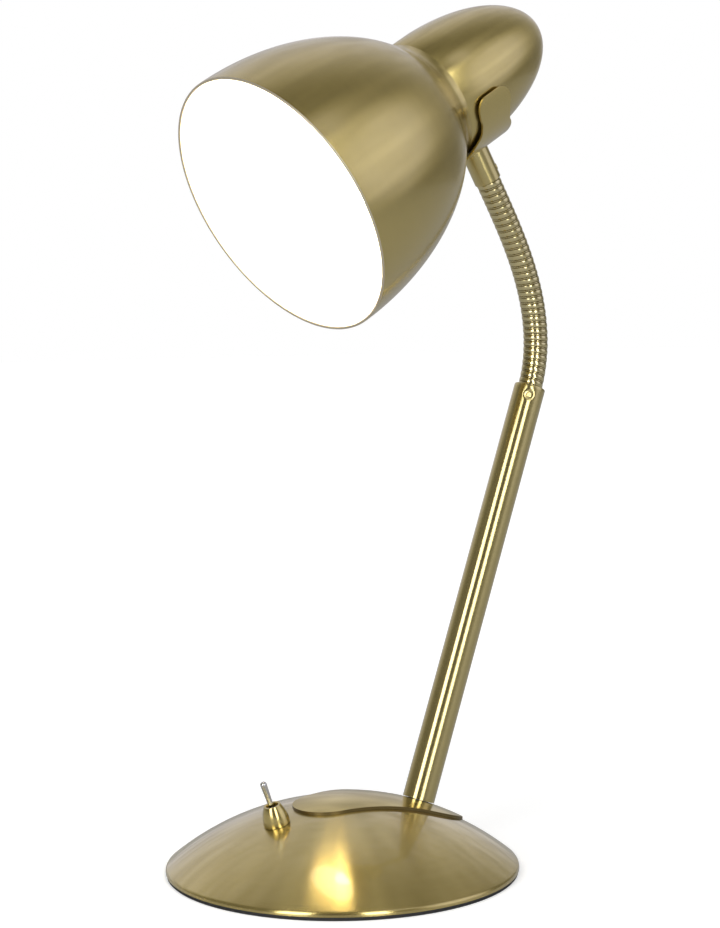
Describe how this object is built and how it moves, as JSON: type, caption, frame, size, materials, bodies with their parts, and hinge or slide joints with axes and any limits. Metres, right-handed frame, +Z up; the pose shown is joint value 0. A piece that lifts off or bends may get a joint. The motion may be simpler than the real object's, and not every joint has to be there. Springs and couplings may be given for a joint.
{
  "type": "desk lamp",
  "caption": "Desk lamp with a weighted dome base, a leaning tube column, a flexible ribbed neck and a bell shade on a saddle bracket, worked by a toggle switch.",
  "frame": {"origin": "centre of the base on the table", "axes": "+Z up; the shade opens towards -Y, the column leans back towards +Y; X = 0 is the middle plane"},
  "size_m": [0.17, 0.2171, 0.4194],
  "materials": {
    "brass": "satin, finely brushed round; the inside of the shade is white enamel",
    "steel": "zinc-plated",
    "lever_chrome": "polished",
    "cast_iron": "as cast",
    "black_rubber": "matt",
    "black_plastic": "moulded",
    "contact_brass": "bright",
    "bulb_cap_metal": "bright",
    "opal_glass": "opal white"
  },
  "bodies": {
    "base": {"base_dome": "brass", "base_weight": "cast_iron", "bottom_cover": "steel", "column_nipple": "steel", "column_nut": "steel", "column_plug": "steel", "column_screw": "brass", "column_tube": "brass", "column_washer": "steel", "cord_bush": "black_rubber", "cover_screws": "steel", "dome_posts": "steel", "foot_pad": "black_rubber", "leaf_plate": "brass", "neck_base_fitting": "brass", "switch_body": "black_plastic", "switch_bushing": "steel", "switch_collar": "brass", "switch_nut": "steel", "switch_terminals": "contact_brass", "terminal_block": "black_plastic"},
    "link_01": {"neck_link_01": "brass"},
    "link_02": {"neck_link_02": "brass"},
    "link_03": {"neck_link_03": "brass"},
    "link_04": {"neck_link_04": "brass"},
    "link_05": {"neck_link_05": "brass"},
    "link_06": {"neck_link_06": "brass"},
    "link_07": {"neck_link_07": "brass"},
    "link_08": {"neck_link_08": "brass"},
    "link_09": {"neck_link_09": "brass"},
    "link_10": {"neck_link_10": "brass"},
    "bracket": {"neck_top_fitting": "brass", "upper_stem": "brass", "stem_screw": "brass", "stem_nipple": "steel", "stem_nut": "steel", "saddle_bracket": "brass", "pivot_nuts": "steel"},
    "head": {"shade": "brass", "rear_housing": "brass", "pivot_bushes": "steel", "holder_plate": "steel", "lampholder": "black_plastic", "screw_shell": "contact_brass", "centre_contact": "contact_brass", "holder_nipple": "steel", "holder_nut": "steel", "bulb_cap": "bulb_cap_metal", "bulb_glass": "opal_glass"},
    "lever": {"switch_lever": "lever_chrome"}
  },
  "joints": [
    {"name": "neck_bend_1", "type": "hinge", "parent": "base", "child": "link_01", "pos_m": [0, 0.12361, 0.23413], "axis": [1, 0, 0], "range_deg": [-16, 6.5]},
    {"name": "neck_side_1", "type": "hinge", "parent": "link_01", "child": "link_02", "pos_m": [0, 0.12553, 0.24405], "axis": [0, 0.993, -0.1178], "range_deg": [-14, 14]},
    {"name": "neck_bend_2", "type": "hinge", "parent": "link_02", "child": "link_03", "pos_m": [0, 0.12598, 0.25415], "axis": [1, 0, 0], "range_deg": [-16, 6.5]},
    {"name": "neck_side_2", "type": "hinge", "parent": "link_03", "child": "link_04", "pos_m": [0, 0.12512, 0.26422], "axis": [0, 0.9899, 0.142], "range_deg": [-14, 14]},
    {"name": "neck_bend_3", "type": "hinge", "parent": "link_04", "child": "link_05", "pos_m": [0, 0.12312, 0.27413], "axis": [1, 0, 0], "range_deg": [-16, 6.5]},
    {"name": "neck_side_3", "type": "hinge", "parent": "link_05", "child": "link_06", "pos_m": [0, 0.12015, 0.2838], "axis": [0, 0.9434, 0.3316], "range_deg": [-14, 14]},
    {"name": "neck_bend_4", "type": "hinge", "parent": "link_06", "child": "link_07", "pos_m": [0, 0.11642, 0.29319], "axis": [1, 0, 0], "range_deg": [-16, 6.5]},
    {"name": "neck_side_4", "type": "hinge", "parent": "link_07", "child": "link_08", "pos_m": [0, 0.11208, 0.30233], "axis": [0, 0.8923, 0.4513], "range_deg": [-14, 14]},
    {"name": "neck_bend_5", "type": "hinge", "parent": "link_08", "child": "link_09", "pos_m": [0, 0.10729, 0.31123], "axis": [1, 0, 0], "range_deg": [-16, 6.5]},
    {"name": "neck_side_5", "type": "hinge", "parent": "link_09", "child": "link_10", "pos_m": [0, 0.10222, 0.31998], "axis": [0, 0.8611, 0.5085], "range_deg": [-14, 14]},
    {"name": "neck_bend_6", "type": "hinge", "parent": "link_10", "child": "bracket", "pos_m": [0, 0.09701, 0.32864], "axis": [1, 0, 0], "range_deg": [-16, 6.5]},
    {"name": "head_tilt", "type": "hinge", "parent": "bracket", "child": "head", "pos_m": [0, 0.07554, 0.36434], "axis": [1, 0, 0], "range_deg": [-4.5, 4.5]},
    {"name": "switch_throw", "type": "hinge", "parent": "base", "child": "lever", "pos_m": [0, -0.03891, 0.03157], "axis": [-1, 0, 0], "range_deg": [0, 10]}
  ]
}
